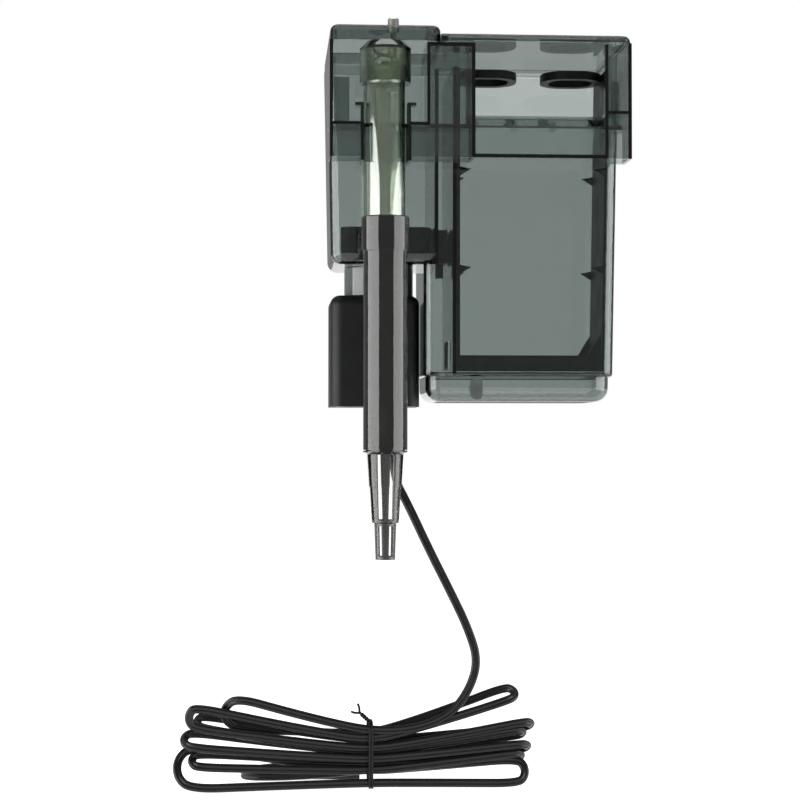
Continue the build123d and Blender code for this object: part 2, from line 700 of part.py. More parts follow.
post_places = [
    (x, y)
    for x in (motor_left + motor_wall + post_r - 0.6, motor_right - motor_wall - post_r + 0.6)
    for y in (motor_front + motor_wall + post_r - 0.6, pump_y + motor_depth / 2 - motor_wall - post_r + 0.6)
]
with BuildPart() as motor_shell:
    with BuildSketch(Plane.XY.offset(shell_bottom)):
        with Locations((motor_mid, pump_y)):
            RectangleRounded(motor_right - motor_left, motor_depth, 7.0)
    extrude(amount=motor_top - shell_bottom)
    fillet(motor_shell.faces().sort_by(Axis.Z)[-1].edges(), 5.5)
    with BuildSketch(Plane.XY.offset(shell_bottom)):
        with Locations((motor_mid, pump_y)):
            RectangleRounded(motor_right - motor_left - 2 * motor_wall, motor_depth - 2 * motor_wall, 4.6)
    extrude(amount=motor_top - motor_wall - shell_bottom, mode=Mode.SUBTRACT)
    with BuildSketch(Plane.XY.offset(motor_top + 1)):
        with Locations((pipe_x, pump_y)):
            Circle(rotor_tube_r + 0.15)
    extrude(amount=-(motor_wall + 3), mode=Mode.SUBTRACT)
    with BuildSketch(Plane.XY.offset(shell_bottom)):
        with Locations(*post_places):
            Circle(post_r)
    extrude(amount=12.0)
    with BuildSketch(Plane.XY.offset(shell_bottom)):
        with Locations(*post_places):
            Circle(screw_r)
    extrude(amount=8.0, mode=Mode.SUBTRACT)
finish(motor_shell.part, "motor_shell")

core_left = motor_left + motor_wall + 4.5
core_right = pipe_x + rotor_tube_r + 5.0
core_low = -130.0
core_high = -106.0
limb = 6.5
core_half = 17.5
with BuildPart() as stator_core:
    with BuildSketch(Plane.XY.offset(core_low)):
        with Locations(((core_left + core_right) / 2, pump_y)):
            Rectangle(core_right - core_left, 2 * core_half)
        with Locations((pipe_x, pump_y)):
            Circle(rotor_tube_r + 0.2, mode=Mode.SUBTRACT)
        with Locations(((core_left + limb + pipe_x) / 2, pump_y)):
            Rectangle(pipe_x - core_left - limb, 13.0, mode=Mode.SUBTRACT)
        with Locations(((core_left + limb + pipe_x - rotor_tube_r) / 2, pump_y)):
            Rectangle(pipe_x - rotor_tube_r - core_left - limb, 2 * core_half - 2 * limb, mode=Mode.SUBTRACT)
        with Locations((core_right, pump_y)):
            Rectangle(12.0, 5.0, mode=Mode.SUBTRACT)
    extrude(amount=core_high - core_low)
finish(stator_core.part, "stator_core")

with BuildPart() as stator_coil:
    with BuildSketch(Plane.XZ.offset(-pump_y)):
        with Locations((core_left + limb / 2, (core_low + core_high) / 2)):
            RectangleRounded(limb + 7.0, core_high - core_low + 14.0, 3.0)
            Rectangle(limb + 0.1, core_high - core_low + 0.1, mode=Mode.SUBTRACT)
    extrude(amount=core_half - limb - 0.4, both=True)
finish(stator_coil.part, "stator_coil")

with BuildPart() as motor_base:
    with BuildSketch(Plane.XY.offset(motor_bottom)):
        with Locations((motor_mid, pump_y)):
            RectangleRounded(motor_right - motor_left, motor_depth, 7.0)
    extrude(amount=base_thick)
    with Locations(*[(x, y, motor_bottom) for x, y in post_places]):
        Cylinder(screw_head_r + 0.1, 2 * screw_head, mode=Mode.SUBTRACT)
        Cylinder(screw_r, 3 * base_thick, mode=Mode.SUBTRACT)
    with Locations((gland_x, pump_y, motor_bottom)):
        Cylinder(gland_r - 0.8, 3 * base_thick, mode=Mode.SUBTRACT)
finish(motor_base.part, "motor_base")

with BuildPart() as base_screws:
    with BuildSketch(Plane.XY.offset(motor_bottom)):
        with Locations(*post_places):
            Circle(screw_head_r)
    extrude(amount=screw_head)
    with BuildSketch(Plane.XY.offset(motor_bottom)):
        with Locations(*post_places):
            Circle(screw_r)
    extrude(amount=base_thick + 7.6)
    with BuildSketch(Plane.XY.offset(motor_bottom)):
        with Locations(*post_places):
            Rectangle(3.2, 0.7)
            Rectangle(0.7, 3.2)
    extrude(amount=0.8, mode=Mode.SUBTRACT)
finish(base_screws.part, "base_screws")

gland_end = motor_bottom - gland_length
gland_profile = (
    (0.0, shell_bottom + 1.4), (gland_r, shell_bottom + 1.4), (gland_r, shell_bottom),
    (gland_r - 0.8, shell_bottom), (gland_r - 0.8, motor_bottom), (gland_r + 0.6, motor_bottom),
    (gland_r + 0.6, motor_bottom - 1.4), (gland_r, motor_bottom - 2.0), (cord_d / 2 + 0.5, gland_end),
    (0.0, gland_end),
)
with BuildPart() as cord_gland:
    with BuildSketch(Plane(origin=(gland_x, pump_y, 0), x_dir=(1, 0, 0), z_dir=(0, -1, 0))):
        with BuildLine():
            Polyline(*gland_profile, close=True)
        make_face()
    revolve(axis=Axis((gland_x, pump_y, 0), (0, 0, 1)))
finish(cord_gland.part, "cord_gland")

# ---- Media frame: U-shaped plates with barbs and two finger loops ----
frame_mid = (frame_left + frame_right) / 2
frame_depth = frame_back - frame_front
rail_top = frame_base + rail_height
with BuildPart() as media_frame:
    with BuildSketch(Plane.XZ.offset(-frame_front)):
        with Locations((frame_left + frame_plate / 2, (frame_base + frame_top) / 2)):
            Rectangle(frame_plate, frame_top - frame_base)
        with Locations((frame_mid, frame_base + frame_plate / 2)):
            Rectangle(frame_right - frame_left, frame_plate)
        with BuildLine():
            Polyline((frame_right, frame_base), (frame_right + plate_lean(frame_top), frame_top),
                     (frame_right + plate_lean(frame_top) - frame_plate, frame_top),
                     (frame_right - frame_plate, frame_base), close=True)
        make_face()
    extrude(amount=-frame_depth)
    # lips along the rail, the corner gusset and the barbs, on the front and the rear edges
    for y in (frame_front, frame_back - frame_plate):
        with BuildSketch(Plane.XZ.offset(-y)):
            with Locations((frame_mid, frame_base + rail_height / 2)):
                Rectangle(frame_right - frame_left, rail_height)
            with BuildLine():
                Polyline((frame_right - frame_plate, rail_top + gusset_height),
                         (frame_right - frame_plate, rail_top),
                         (frame_right - frame_plate - gusset_width, rail_top), close=True)
            make_face()
            for z in barb_levels:
                for edge, way in ((frame_left + frame_plate, 1),
                                  (frame_right - frame_plate + plate_lean(z), -1)):
                    with BuildLine():
                        Polyline((edge - way, z - barb_half), (edge + way * barb_reach, z + barb_rise),
                                 (edge - way, z + barb_half), close=True)
                    make_face()
        extrude(amount=-frame_plate)
    # finger loops
    for left in (frame_left + frame_plate, frame_right + plate_lean(frame_top) - frame_plate - loop_width):
        with BuildSketch(Plane.XY.offset(frame_top - loop_bar)):
            with Locations((left + loop_width / 2, (frame_front + frame_back) / 2)):
                RectangleRounded(loop_width, loop_depth, loop_corner)
                RectangleRounded(loop_width - 2 * loop_bar, loop_depth - 2 * loop_bar, loop_corner - loop_bar,
                                 mode=Mode.SUBTRACT)
        extrude(amount=loop_bar)
finish(media_frame.part, "media_frame")

# ---- Levelling foot: a pad on a stem that slides towards the tank ----
pad_back = foot_y - play
with BuildPart() as levelling_foot:
    with BuildSketch(Plane.XZ.offset(-pad_back + foot_thick)):
        with Locations((foot_x, foot_z)):
            RectangleRounded(foot_width, foot_height, foot_width / 2 - 0.2)
    extrude(amount=-foot_thick)
    with BuildSketch(Plane.XZ.offset(-pad_back + 0.5)):
        with Locations((foot_x, foot_z)):
            Circle(foot_stem_r)
    extrude(amount=-(foot_stem + 0.5))
finish(levelling_foot.part, "levelling_foot")

# ---- Cord: free stretch, hank, twist tie, tail and plug ----
cord_points = [
    (gland_x, pump_y, gland_end), (gland_x, pump_y, -196.0), (-35.5, 41.0, -212.0),
    (-23.5, 38.0, -238.0), (-11.0, 35.0, -263.0), (-1.5, 32.0, -283.0), (4.4, 29.5, -302.0),
    (-1.6, 27.5, -319.5), (-13.5, 26.6, -333.5),
]
tail_points = [
    (-130.0, hank_front + hank_depth - 1.0, -369.4), (-132.0, 60.0, -369.6), (-121.0, 72.5, -369.3),
    (-105.5, 76.0, floor_z + plug_height / 2),
]


def cord_tube(points, name):
    """A plain round tube of the cord's width along straight runs and tangent arcs."""
    corners = []
    for before, here, after in zip(points, points[1:], points[2:]):
        run_in = Vector(*here) - Vector(*before)
        run_out = Vector(*after) - Vector(*here)
        turn = radians(run_in.get_angle(run_out))
        corners.append(0.45 * min(run_in.length, run_out.length) / tan(turn / 2))
    with BuildPart() as tube:
        with BuildLine() as path:
            FilletPolyline(*points, radius=corners)
        route = path.wires()[0]
        with BuildSketch(Plane(origin=route @ 0, z_dir=route % 0)):
            Circle(cord_d / 2)
        sweep()
    share = tube.part.volume / (route.length * pi * cord_d ** 2 / 4)
    print(name, "radii", [round(r, 1) for r in corners], "length", round(route.length, 1),
          "volume share", round(share, 4))
    finish(tube.part, name)


cord_tube(cord_points, "cord_run")
cord_tube(tail_points, "cord_tail")

hank_outline = (
    (-163.0, -323.5), (-123.0, -317.5), (-72.0, -333.0), (-56.0, -337.0), (-11.0, -329.5), (25.0, -316.8),
    (38.0, -337.0), (33.0, -367.0), (-56.0, -372.6), (-133.0, floor_z), (-163.0, -373.0), (-172.0, -360.0),
)
hank_back = hank_front + hank_depth
with BuildPart() as cord_hank:
    with BuildSketch(Plane.XZ.offset(-hank_front)) as outline:
        with BuildLine():
            Polyline(*hank_outline, close=True)
        make_face()
        fillet(outline.vertices(), 6.0)
    extrude(amount=-hank_depth)
    fillet(cord_hank.faces().sort_by(Axis.Y)[0].edges() + cord_hank.faces().sort_by(Axis.Y)[-1].edges(), 4.0)
finish(cord_hank.part, "cord_hank")

tie_low = -373.6
tie_high = -335.4
with BuildPart() as cord_tie:
    with BuildSketch(Plane.YZ.offset(tie_x)):
        with Locations(((hank_front + hank_back) / 2, (tie_low + tie_high) / 2)):
            RectangleRounded(hank_depth + 2 * tie_thick + 0.4, tie_high - tie_low + 2 * tie_thick, 4.5)
            RectangleRounded(hank_depth + 0.4, tie_high - tie_low, 3.6, mode=Mode.SUBTRACT)
    extrude(amount=tie_width)
    with BuildSketch(Plane(origin=(tie_x + 1.4, hank_front + 3.0, tie_high + 0.4), z_dir=(-1.0, -0.1, 0.9))):
        Circle(1.1)
    extrude(amount=13.0)
finish(cord_tie.part, "cord_tie")

tail_x, tail_y, tail_z = tail_points[-1]
boot_end = tail_x + boot_length
plug_end = boot_end + plug_length
with BuildPart() as plug_body:
    with BuildSketch(Plane.YZ.offset(boot_end)):
        with Locations((tail_y, floor_z + plug_height / 2)):
            RectangleRounded(plug_width - 10.0, plug_height, 5.0)
    with BuildSketch(Plane.YZ.offset(plug_end)):
        with Locations((tail_y, floor_z + plug_height / 2)):
            RectangleRounded(plug_width, plug_height, 5.0)
    loft()
    with BuildSketch(Plane.YZ.offset(tail_x)):
        with Locations((tail_y, tail_z)):
            Circle(cord_d / 2 + boot_wall)
    extrude(amount=boot_length + 1)
    with Locations(*[(plug_end, tail_y + side * pin_spacing / 2, tail_z) for side in (-1, 1)]):
        Cylinder(pin_root_r, 2 * pin_root, rotation=(0, 90, 0), mode=Mode.SUBTRACT)
finish(plug_body.part, "plug_body")

with BuildPart() as plug_pins:
    for start, radius, length in (
        (plug_end - pin_root, pin_root_r, pin_root + 1),
        (plug_end, pin_r, pin_length),
    ):
        with BuildSketch(Plane.YZ.offset(start)):
            with Locations(*[(tail_y + side * pin_spacing / 2, tail_z) for side in (-1, 1)]):
                Circle(radius)
        extrude(amount=length)
    fillet(plug_pins.faces().group_by(Axis.X)[-1].edges(), 1.4)
finish(plug_pins.part, "plug_pins")
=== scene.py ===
import math

import bmesh
import bpy
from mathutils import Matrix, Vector


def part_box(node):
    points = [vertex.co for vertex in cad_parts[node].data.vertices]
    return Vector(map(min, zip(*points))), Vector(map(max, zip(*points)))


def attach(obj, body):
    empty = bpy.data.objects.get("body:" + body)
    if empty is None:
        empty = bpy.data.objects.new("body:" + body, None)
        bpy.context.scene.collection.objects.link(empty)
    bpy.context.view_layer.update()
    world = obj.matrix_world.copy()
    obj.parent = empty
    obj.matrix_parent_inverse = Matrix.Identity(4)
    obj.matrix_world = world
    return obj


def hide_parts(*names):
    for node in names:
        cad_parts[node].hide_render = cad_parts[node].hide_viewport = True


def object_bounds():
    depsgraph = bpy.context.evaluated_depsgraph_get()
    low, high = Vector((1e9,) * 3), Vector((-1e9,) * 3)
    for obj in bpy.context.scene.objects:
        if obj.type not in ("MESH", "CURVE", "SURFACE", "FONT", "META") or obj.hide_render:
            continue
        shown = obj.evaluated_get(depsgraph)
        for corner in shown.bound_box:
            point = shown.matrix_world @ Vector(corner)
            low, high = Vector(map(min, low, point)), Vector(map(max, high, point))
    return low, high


bl_info = {
    "name": "Hang-on-back aquarium filter",
    "version": (1, 0, 0),
    "blender": (4, 5, 0),
    "location": "View3D > Sidebar > Filter",
    "description": "Finishes, mains cord and studio for a hang-on-back aquarium filter",
    "category": "Object",
}

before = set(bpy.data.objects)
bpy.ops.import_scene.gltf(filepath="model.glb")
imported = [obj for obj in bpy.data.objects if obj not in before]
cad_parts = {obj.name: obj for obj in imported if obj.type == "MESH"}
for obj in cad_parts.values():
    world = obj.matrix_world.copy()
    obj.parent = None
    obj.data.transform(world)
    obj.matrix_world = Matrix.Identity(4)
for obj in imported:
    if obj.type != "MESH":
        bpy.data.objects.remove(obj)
cad_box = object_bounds()
MM = 0.001


# ---- Sizes and colours that a user would change ----
class FilterSizes(bpy.types.PropertyGroup):
    cord_width: bpy.props.FloatProperty(
        name="Cord width", description="Width of the flat twin cord", default=5.0 * MM, unit="LENGTH")
    cord_thickness: bpy.props.FloatProperty(
        name="Cord thickness", description="Thickness of one core of the cord", default=2.9 * MM,
        unit="LENGTH")
    tie_wire: bpy.props.FloatProperty(
        name="Tie wire", description="Thickness of the coated wire of the twist tie", default=1.35 * MM,
        unit="LENGTH")
    lens: bpy.props.FloatProperty(
        name="Lens", description="Focal length of the camera in millimetres", default=87.35)


class FilterColours(bpy.types.PropertyGroup):
    black: bpy.props.StringProperty(
        name="Black moulding", description="Colour of the pump, motor and media frame", default="0D0F0E")
    cord: bpy.props.StringProperty(
        name="Cord", description="Colour of the mains cord", default="070707")
    floor: bpy.props.StringProperty(
        name="Floor", description="Colour of the paper that the filter's cord lies on", default="E6E6E6")


# ---- Small helpers ----
def linear(hex_colour, alpha=1.0):
    """An sRGB hex colour as linear RGBA."""
    channels = [int(hex_colour[i:i + 2], 16) / 255 for i in (0, 2, 4)]
    return [c / 12.92 if c <= 0.04045 else ((c + 0.055) / 1.055) ** 2.4 for c in channels] + [alpha]


def add_node(tree, kind, inputs=None, **settings):
    """Adds a node, sets its own settings, and sets or links its inputs."""
    node = tree.nodes.new(kind)
    for key, value in settings.items():
        setattr(node, key, value)
    for key, value in (inputs or {}).items():
        if isinstance(value, bpy.types.NodeSocket):
            tree.links.new(value, node.inputs[key])
        else:
            node.inputs[key].default_value = value
    return node


def new_material(name):
    """An empty node material and its output node."""
    material = bpy.data.materials.new(name)
    material.use_nodes = True
    material.node_tree.nodes.clear()
    return material, material.node_tree, add_node(material.node_tree, "ShaderNodeOutputMaterial")


def coat_nodes(material, *names):
    """Gives CAD nodes a material."""
    for name in names:
        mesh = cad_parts[name].data
        mesh.materials.clear()
        mesh.materials.append(material)


def absorption(transmittance, thickness):
    """Colour and density of an absorption volume that lets this share through a wall of this thickness."""
    extinction = [-math.log(share) / thickness for share in transmittance]
    density = max(extinction) * 1.25
    return [1 - value / density for value in extinction] + [1.0], density


def link_object(data, name):
    """A new object of this data in the scene."""
    piece = bpy.data.objects.new(name, data)
    bpy.context.scene.collection.objects.link(piece)
    return piece


# ---- Stage: camera, floor and lights ----
CAMERA_PLACE = (-0.1186, -1.0868, -0.1742)
CAMERA_AIM = (-0.0450, -0.029, -0.1527)


class FILTER_OT_stage(bpy.types.Operator):
    """Camera, pale floor, white surroundings and soft studio lights"""
    bl_idname = "filter.stage"
    bl_label = "Stage"

    def execute(self, context):
        scene = context.scene
        scene.view_settings.view_transform = "Standard"
        camera = link_object(bpy.data.cameras.new("studio_camera"), "studio_camera")
        camera.data.lens = scene.filter_sizes.lens
        camera.data.clip_end = 20.0
        camera.location = CAMERA_PLACE
        aim = Vector(CAMERA_AIM) - camera.location
        camera.rotation_euler = aim.to_track_quat("-Z", "Y").to_euler()
        scene.camera = camera

        floor_z = cad_box[0][2]
        floor_mesh = bpy.data.meshes.new("studio_floor")
        reach = 6.0
        floor_mesh.from_pydata([(-reach, -reach, floor_z), (reach, -reach, floor_z),
                                (reach, reach, floor_z), (-reach, reach, floor_z)], [], [(0, 1, 2, 3)])
        floor = link_object(floor_mesh, "studio_floor")
        # matt white paper sweep: an even pale sheet that gives a little light of its own
        paper, tree, out = new_material("paper_sweep")
        shader = add_node(tree, "ShaderNodeBsdfPrincipled",
                          {"Base Color": linear(scene.filter_colours.floor), "Roughness": 0.9,
                           "Specular IOR Level": 0.1, "Emission Color": (1, 1, 1, 1),
                           "Emission Strength": 0.9})
        tree.links.new(shader.outputs[0], out.inputs[0])
        floor_mesh.materials.append(paper)

        # white surroundings for what is seen, and seen through the clear plastic; dimmer for shading
        world = bpy.data.worlds.new("studio_surroundings")
        world.use_nodes = True
        tree = world.node_tree
        tree.nodes.clear()
        path = add_node(tree, "ShaderNodeLightPath")
        seen = add_node(tree, "ShaderNodeMath",
                        {0: path.outputs["Is Camera Ray"], 1: path.outputs["Is Transmission Ray"]},
                        operation="MAXIMUM")
        level = add_node(tree, "ShaderNodeMapRange",
                         {"Value": seen.outputs[0], "To Min": 0.26, "To Max": 1.0})
        back = add_node(tree, "ShaderNodeBackground",
                        {"Color": (1, 1, 1, 1), "Strength": level.outputs["Result"]})
        add_node(tree, "ShaderNodeOutputWorld", {"Surface": back.outputs[0]})
        scene.world = world

        # tall panels on both sides give the tubes their two bright bands; the top one fills
        for name, place, towards, size, power in (
            ("left_panel", (-0.80, -0.42, -0.15), (0.0, -0.42, -0.15), (0.55, 1.2), 11.0),
            ("right_panel", (0.80, -0.45, -0.15), (0.0, -0.45, -0.15), (0.50, 1.2), 8.5),
            ("top_panel", (0.0, 0.1, 1.0), (0.0, 0.05, 0.0), (1.2, 0.9), 6.0),
        ):
            light = bpy.data.lights.new(name, "AREA")
            light.shape = "RECTANGLE"
            light.size, light.size_y = size
            light.energy = power
            lamp = link_object(light, name)
            lamp.location = place
            lamp.rotation_euler = (Vector(towards) - lamp.location).to_track_quat("-Z", "Z").to_euler()
        return {"FINISHED"}


# ---- Mains cord, hank, tail and plug ----
# the route leaves the gland straight down, swings right and comes back to the tie (millimetres)
RUN = [(-44.0, 44.0, -177.5), (-44.0, 44.0, -196.0), (-35.5, 41.0, -212.0), (-23.5, 38.0, -238.0),
       (-11.0, 35.0, -263.0), (-1.5, 32.0, -283.0), (4.4, 29.5, -302.0), (-1.6, 27.5, -319.5),
       (-13.5, 26.6, -333.5)]
INTO_HANK = (-34.0, 26.4, -340.5)
OUT_OF_HANK = [(-84.0, 36.5, -367.0), (-108.0, 42.0, -369.2)]
TAIL = [(-130.0, 45.0, -369.4), (-132.0, 60.0, -369.6), (-121.0, 72.5, -369.3), (-105.5, 76.0, -369.0)]
TIE_X = -58.0         # where the tie crosses the hank
TIE_TOP = 39.4        # top of the tie above the lowest point of the hank
# the hank's passes: height and depth of each in the tie, then the fold that ends it, given by how far
# out its tip is, the height of its middle, and half its rise from the leg before to the leg after
PASSES = (
    (-341.0, 26.6, -141.5, -331.5, -10.0),
    (-345.0, 42.0, 26.0, -321.5, -3.0),
    (-346.5, 28.4, -161.5, -333.0, -6.2),
    (-351.9, 29.4, 35.5, -339.5, -2.5),
    (-349.0, 41.0, -157.0, -336.5, -3.0),
    (-354.5, 31.4, 31.0, -344.5, -2.5),
    (-356.0, 41.5, -164.5, -346.5, -3.5),
    (-357.5, 28.4, 33.5, -352.2, -2.6),
    (-361.0, 41.0, -160.0, -358.5, -3.2),
    (-364.5, 31.4, 30.0, -358.0, -2.6),
    (-366.5, 42.0, -168.5, -362.4, -11.0),
    (-371.0, 28.4, 31.5, -365.8, 6.4),
    (-364.2, 34.4, None, None, None),
)


def fold_points(before, after, tip, middle, rise):
    """Control points of a round fold between the leg of one pass and the leg of the next."""
    way = 1 if tip > TIE_X else -1
    span = Vector((0.0, after - before, 2 * rise)) / 2
    radius = span.length
    centre = Vector((tip - way * radius, (before + after) / 2, middle))
    out = Vector((way, 0.0, 0.0))
    reach = radius / math.cos(math.radians(22.5))
    arc = []
    for angle in (-67.5, -22.5, 22.5, 67.5):
        turn = math.radians(angle)
        arc.append(tuple(centre + out * reach * math.cos(turn) + span.normalized() * reach * math.sin(turn)))
    return arc


def leg_points(height, depth, fold_end):
    """Two points of a leg between the tie and the end of its fold, which spreads evenly."""
    x, y, z = fold_end
    return [(TIE_X + share * (x - TIE_X), depth + share ** 2 * (y - depth),
             height + share ** 1.15 * (z - height)) for share in (0.3, 0.66)]


def hank_points():
    """Control points of the hank, pass by pass, in millimetres."""
    points = []
    for here, after in zip(PASSES, PASSES[1:]):
        height, depth, tip, middle, rise = here
        fold = fold_points(depth, after[1], tip, middle, rise)
        points.append((TIE_X, depth, height))
        points += leg_points(height, depth, fold[0])
        points += fold
        points += reversed(leg_points(after[0], after[1], fold[-1]))
    height, depth = PASSES[-1][:2]
    return points + [(TIE_X, depth, height)]


def sweep_profile(name, route, profile, facing):
    """A mesh of this flat profile along a route, its width kept square to the facing direction."""
    vertices, faces = [], []
    count = len(profile)
    side = Vector((1, 0, 0))
    for index, here in enumerate(route):
        before = route[max(index - 1, 0)]
        after = route[min(index + 1, len(route) - 1)]
        along = (after - before).normalized()
        across = along.cross(facing)
        if across.length > 0.2:
            across.normalize()
            if across.dot(side) < 0:
                across.negate()
            side = (side * 0.8 + across * 0.2)
        side = (side - along * side.dot(along)).normalized()
        up = along.cross(side)
        vertices += [here + side * u + up * v for u, v in profile]
    for index in range(len(route) - 1):
        for k in range(count):
            a = index * count + k
            b = index * count + (k + 1) % count
            faces.append((a, b, b + count, a + count))
    faces.append(tuple(reversed(range(count))))
    faces.append(tuple(range(len(vertices) - count, len(vertices))))
    mesh = bpy.data.meshes.new(name)
    mesh.from_pydata([tuple(v) for v in vertices], [], faces)
    for polygon in mesh.polygons:
        polygon.use_smooth = len(polygon.vertices) == 4
    return mesh


def wire_mesh(name, points, radius, closed=False):
    """A round wire along a smooth curve through these control points, in metres."""
    curve = bpy.data.curves.new(name, "CURVE")
    curve.dimensions = "3D"
    curve.resolution_u = 6
    curve.bevel_depth = radius
    curve.bevel_resolution = 3
    curve.use_fill_caps = True
    spline = curve.splines.new("NURBS")
    spline.points.add(len(points) - 1)
    for point, place in zip(spline.points, points):
        point.co = (*place, 1.0)
    spline.order_u = 3
    spline.use_cyclic_u = closed
    spline.use_endpoint_u = not closed
    guide = link_object(curve, name + "_guide")
    bpy.context.view_layer.update()
    mesh = bpy.data.meshes.new_from_object(guide.evaluated_get(bpy.context.evaluated_depsgraph_get()))
    bpy.data.objects.remove(guide)
    mesh.name = name
    for polygon in mesh.polygons:
        polygon.use_smooth = True
    return mesh


class FILTER_OT_twist_tie(bpy.types.Operator):
    """Coated wire tie round the hank: two wires side by side whose ends are twisted together"""
    bl_idname = "filter.twist_tie"
    bl_label = "Twist tie"

    def execute(self, context):
        wire = context.scene.filter_sizes.tie_wire
        low, high = (Vector(corner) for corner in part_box("cord_tie"))
        front, back = low.y, high.y
        bottom, top = low.z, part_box("cord_hank")[0][2] + TIE_TOP * MM
        middle = TIE_X * MM
        # the band follows the bundle: flat in front and behind, round at the top and bottom
        bend = 6.0 * MM
        band = [(front, top - bend), (front + wire / 2, top - bend / 3), (front + bend, top),
                (back - bend, top), (back - wire / 2, top - bend / 3), (back, top - bend),
                (back, bottom + bend), (back - wire / 2, bottom + bend / 3), (back - bend, bottom),
                (front + bend, bottom), (front + wire / 2, bottom + bend / 3), (front, bottom + bend)]
        band = [(min(max(y, front + wire / 2), back - wire / 2), max(z, bottom + wire / 2)) for y, z in band]
        build = bmesh.new()
        for side in (-0.5, 0.5):
            loop = [(middle + side * 1.05 * wire + 0.25 * MM * math.sin(5 * z / MM), y, z) for y, z in band]
            part = wire_mesh("tie_band", loop, wire / 2, closed=True)
            build.from_mesh(part)
            bpy.data.meshes.remove(part)
        # the ends twist round each other up and to the left, then spread
        root = Vector((middle, front + bend, top))
        along = Vector((-0.72, -0.12, 0.68)).normalized()
        across = along.cross(Vector((0, 1, 0))).normalized()
        aside = along.cross(across)
        for start, spread in ((0.0, 1.0), (math.pi, -1.0)):
            points = []
            for step in range(15):
                angle = start + step * math.pi / 3
                points.append(root + along * step * 0.55 * MM
                              + (across * math.cos(angle) + aside * math.sin(angle)) * 0.55 * wire)
            end = points[-1]
            points += [end + along * 1.6 * MM + across * spread * 0.9 * MM,
                       end + along * 3.2 * MM + across * spread * 2.6 * MM,
                       end + along * 5.0 * MM + across * spread * 3.2 * MM - aside * 0.8 * MM]
            part = wire_mesh("tie_end", points, wire * 0.5)
            build.from_mesh(part)
            bpy.data.meshes.remove(part)
        mesh = bpy.data.meshes.new("twist_tie")
        build.to_mesh(mesh)
        build.free()
        for polygon in mesh.polygons:
            polygon.use_smooth = True
        tie = link_object(mesh, "twist_tie")
        # PVC-coated steel wire: smooth and slightly glossy
        mesh.materials.append(moulded("pvc_coated_wire", "0B0B0B", 0.38, 0.5 * MM, 0.03 * MM))
        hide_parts("cord_tie")
        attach(tie, "case")
        return {"FINISHED"}


class FILTER_OT_cord(bpy.types.Operator):
    """Flat twin mains cord, from the gland through the hank to the plug"""
    bl_idname = "filter.cord"
    bl_label = "Mains cord"

    def execute(self, context):
        sizes = context.scene.filter_sizes
        route = RUN + [INTO_HANK] + hank_points() + OUT_OF_HANK + TAIL
        curve = bpy.data.curves.new("cord_route", "CURVE")
        curve.dimensions = "3D"
        curve.resolution_u = 10
        spline = curve.splines.new("NURBS")
        spline.points.add(len(route) - 1)
        for point, (x, y, z) in zip(spline.points, route):
            point.co = (x * MM, y * MM, z * MM, 1.0)
        spline.order_u = 3
        spline.use_endpoint_u = True
        guide = link_object(curve, "cord_route")
        context.view_layer.update()
        sampled = bpy.data.meshes.new_from_object(guide.evaluated_get(context.evaluated_depsgraph_get()))
        path = [v.co.copy() for v in sampled.vertices]
        bpy.data.objects.remove(guide)
        # two round cores joined by a narrow web
        core = sizes.cord_thickness / 2
        offset = sizes.cord_width / 2 - core
        profile = []
        for centre, start in ((offset, -130), (-offset, 50)):
            for step in range(9):
                angle = math.radians(start + step * 260 / 8)
                profile.append((centre + core * math.cos(angle), core * math.sin(angle)))
        cord = link_object(sweep_profile("mains_cord", path, profile, Vector((0, 1, 0))), "mains_cord")
        # soft PVC, extruded: satin black with a faint drag grain along it and a dusting of scuffs
        pvc, tree, out = new_material("extruded_black_pvc")
        where = add_node(tree, "ShaderNodeTexCoord")
        scuff = add_node(tree, "ShaderNodeTexNoise",
                         {"Vector": where.outputs["Object"], "Scale": 1 / (6 * MM), "Detail": 4.0})
        tone = add_node(tree, "ShaderNodeMapRange", {"Value": scuff.outputs["Fac"], "From Min": 0.35,
                                                     "From Max": 0.75, "To Min": 0.28, "To Max": 0.46})
        fine = add_node(tree, "ShaderNodeTexNoise",
                        {"Vector": where.outputs["Object"], "Scale": 1 / (0.7 * MM), "Detail": 2.0})
        bump = add_node(tree, "ShaderNodeBump", {"Height": fine.outputs["Fac"], "Strength": 0.12,
                                                 "Distance": 0.05 * MM})
        shader = add_node(tree, "ShaderNodeBsdfPrincipled",
                          {"Base Color": linear(context.scene.filter_colours.cord),
                           "Roughness": tone.outputs["Result"], "Normal": bump.outputs["Normal"],
                           "IOR": 1.53, "Specular IOR Level": 0.3})
        tree.links.new(shader.outputs[0], out.inputs[0])
        cord.data.materials.append(pvc)
        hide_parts("cord_run", "cord_hank", "cord_tail")
        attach(cord, "case")
        coat_nodes(pvc, "cord_gland")
        return {"FINISHED"}


